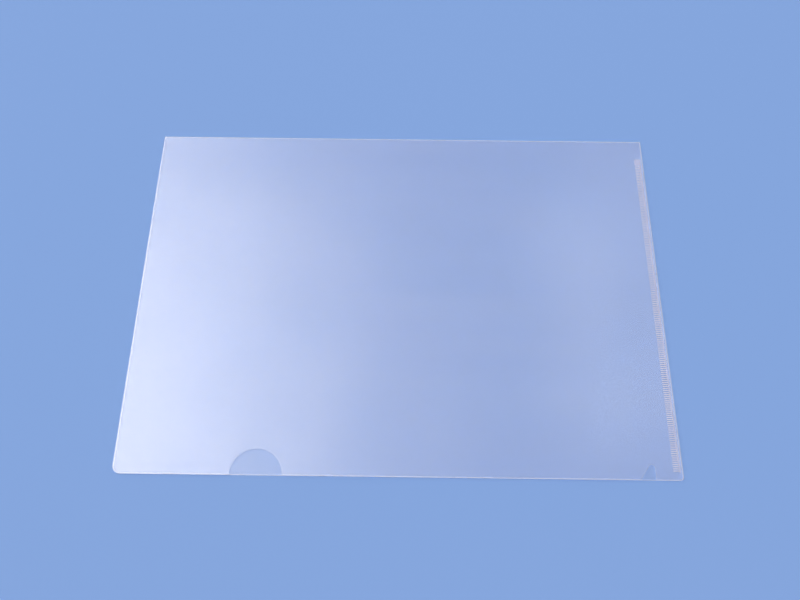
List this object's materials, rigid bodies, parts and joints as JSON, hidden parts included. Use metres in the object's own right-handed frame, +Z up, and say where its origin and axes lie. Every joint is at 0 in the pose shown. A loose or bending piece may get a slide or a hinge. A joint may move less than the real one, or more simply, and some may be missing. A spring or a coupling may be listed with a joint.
{
  "type": "clear l-folder",
  "caption": "Flat clear film folder for loose paper, folded along a long edge and welded along a short edge, with a half-round thumb notch and a front sheet that curls open.",
  "frame": {"origin": "on the underside of the back sheet, under the middle of the folder", "axes": "+X along the fold towards the welded short edge, +Y from the open long edge to the fold, +Z up from the back sheet to the front sheet"},
  "size_m": [0.31, 0.22, 0.0008],
  "materials": {
    "film": "clear polypropylene film, slightly hazy, fine semi-matte face",
    "fold": "the same film, whitened a little where it is creased",
    "weld": "the same film, frosted where it is fused"
  },
  "bodies": {
    "folder": {"back_sheet": "film", "fold_lower": "fold", "fold_upper": "fold", "weld_seam": "weld", "front_sheet": "film"},
    "leaf_1": {"front_leaf_1": "film"},
    "leaf_2": {"front_leaf_2": "film"},
    "leaf_3": {"front_leaf_3": "film"},
    "leaf_4": {"front_leaf_4": "film"},
    "leaf_5": {"front_leaf_5": "film"},
    "leaf_6": {"front_leaf_6": "film"},
    "leaf_7": {"front_leaf_7": "film"},
    "leaf_8": {"front_leaf_8": "film"}
  },
  "joints": [
    {"name": "front_bend_1", "type": "hinge", "parent": "folder", "child": "leaf_1", "pos_m": [-0.0084, -0.0006, 0.0008], "axis": [-0.8193, 0.5734, 0], "range_deg": [0, 15], "stiffness_Nm_per_rad": 0.0173},
    {"name": "front_bend_2", "type": "hinge", "parent": "leaf_1", "child": "leaf_2", "pos_m": [-0.02247, -0.01725, 0.0008], "axis": [-0.8193, 0.5734, 0], "range_deg": [0, 15], "stiffness_Nm_per_rad": 0.0157},
    {"name": "front_bend_3", "type": "hinge", "parent": "leaf_2", "child": "leaf_3", "pos_m": [-0.04141, -0.0305, 0.0008], "axis": [-0.8193, 0.5734, 0], "range_deg": [0, 15], "stiffness_Nm_per_rad": 0.0134},
    {"name": "front_bend_4", "type": "hinge", "parent": "leaf_3", "child": "leaf_4", "pos_m": [-0.06034, -0.04375, 0.0008], "axis": [-0.8193, 0.5734, 0], "range_deg": [0, 15], "stiffness_Nm_per_rad": 0.0112},
    {"name": "front_bend_5", "type": "hinge", "parent": "leaf_4", "child": "leaf_5", "pos_m": [-0.07927, -0.057, 0.0008], "axis": [-0.8193, 0.5734, 0], "range_deg": [0, 15], "stiffness_Nm_per_rad": 0.009},
    {"name": "front_bend_6", "type": "hinge", "parent": "leaf_5", "child": "leaf_6", "pos_m": [-0.0982, -0.07025, 0.0008], "axis": [-0.8193, 0.5734, 0], "range_deg": [0, 15], "stiffness_Nm_per_rad": 0.0067},
    {"name": "front_bend_7", "type": "hinge", "parent": "leaf_6", "child": "leaf_7", "pos_m": [-0.11714, -0.0835, 0.0008], "axis": [-0.8193, 0.5734, 0], "range_deg": [0, 15], "stiffness_Nm_per_rad": 0.0045},
    {"name": "front_bend_8", "type": "hinge", "parent": "leaf_7", "child": "leaf_8", "pos_m": [-0.13607, -0.09675, 0.0008], "axis": [-0.8193, 0.5734, 0], "range_deg": [0, 15], "stiffness_Nm_per_rad": 0.0022}
  ],
  "couplings": [
    {"joint": "front_bend_2", "follows": "front_bend_1", "ratio": 1},
    {"joint": "front_bend_3", "follows": "front_bend_1", "ratio": 1},
    {"joint": "front_bend_4", "follows": "front_bend_1", "ratio": 1},
    {"joint": "front_bend_5", "follows": "front_bend_1", "ratio": 1},
    {"joint": "front_bend_6", "follows": "front_bend_1", "ratio": 1},
    {"joint": "front_bend_7", "follows": "front_bend_1", "ratio": 1},
    {"joint": "front_bend_8", "follows": "front_bend_1", "ratio": 1}
  ]
}
